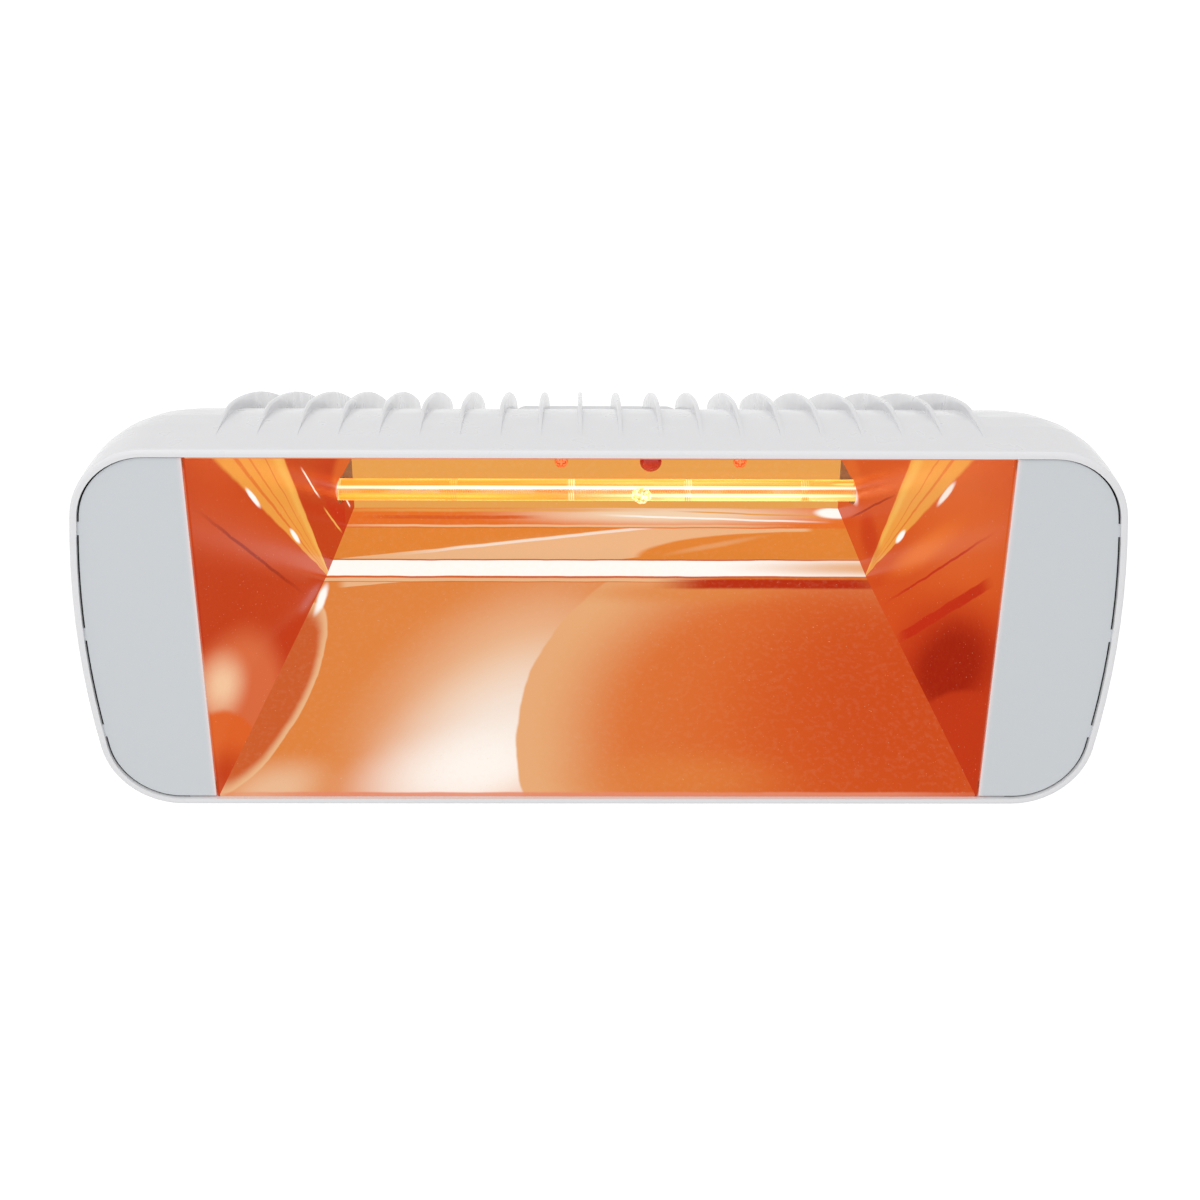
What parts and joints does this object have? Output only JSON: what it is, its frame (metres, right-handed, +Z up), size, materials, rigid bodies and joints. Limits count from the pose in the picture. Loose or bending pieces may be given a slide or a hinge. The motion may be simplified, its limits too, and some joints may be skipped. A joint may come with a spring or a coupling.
{
  "type": "infrared patio heater",
  "caption": "Wall-hung infrared heater: finned white casting with a trough reflector, halogen tube and tilting bracket.",
  "frame": {"origin": "centre of the wall plate's back face, in the plane of the wall", "axes": "+X across the heater, +Y into the wall, +Z up; the heater stands out towards -Y and its open face looks along -Y"},
  "size_m": [0.449, 0.28, 0.1724],
  "materials": {
    "casing_white": "gloss white stoved paint on cast aluminium",
    "panel_white": "satin pale grey paint",
    "bracket_white": "satin white paint",
    "reflector_mirror": "bright rolled mirror sheet",
    "seal_rubber": "matt black",
    "quartz": "clear quartz",
    "tungsten": "glowing wound wire",
    "ceramic": "unglazed steatite",
    "brass": "bright",
    "zinc_steel": "zinc plated",
    "stainless": "stainless",
    "silicone_red": "red silicone",
    "nylon": "white nylon",
    "lead_sleeve": "glass-braid sleeve on silicone"
  },
  "bodies": {
    "wall_bracket": {"wall_fork": "bracket_white", "pivot_bolt": "stainless", "pivot_nut": "stainless", "pivot_washers": "stainless", "friction_discs": "nylon"},
    "head": {"housing": "casing_white", "knuckle": "bracket_white", "knuckle_screws": "stainless", "gland_body": "nylon", "gland_seal": "seal_rubber", "gland_nut": "nylon", "left_end_panel": "panel_white", "right_end_panel": "panel_white", "left_panel_gasket": "seal_rubber", "right_panel_gasket": "seal_rubber", "panel_nuts": "zinc_steel", "reflector_trough": "reflector_mirror", "left_reflector_end": "reflector_mirror", "right_reflector_end": "reflector_mirror", "reflector_screws": "zinc_steel", "reflector_plug": "silicone_red", "lamp_tube": "quartz", "lamp_filament": "tungsten", "lamp_supports": "tungsten", "left_lamp_cap": "ceramic", "right_lamp_cap": "ceramic", "left_lamp_holder": "ceramic", "right_lamp_holder": "ceramic", "left_contact_strip": "brass", "right_contact_strip": "brass", "left_holder_bracket": "zinc_steel", "right_holder_bracket": "zinc_steel", "holder_screws": "zinc_steel", "bracket_screws": "zinc_steel", "terminal_block": "ceramic", "terminal_screws": "brass", "block_screws": "zinc_steel", "earth_screw": "brass", "left_lamp_lead": "lead_sleeve", "right_lamp_lead": "lead_sleeve"}
  },
  "joints": [
    {"name": "head_tilt", "type": "hinge", "parent": "wall_bracket", "child": "head", "pos_m": [0, -0.037, 0.032], "axis": [1, 0, 0], "range_deg": [-10, 60]}
  ]
}
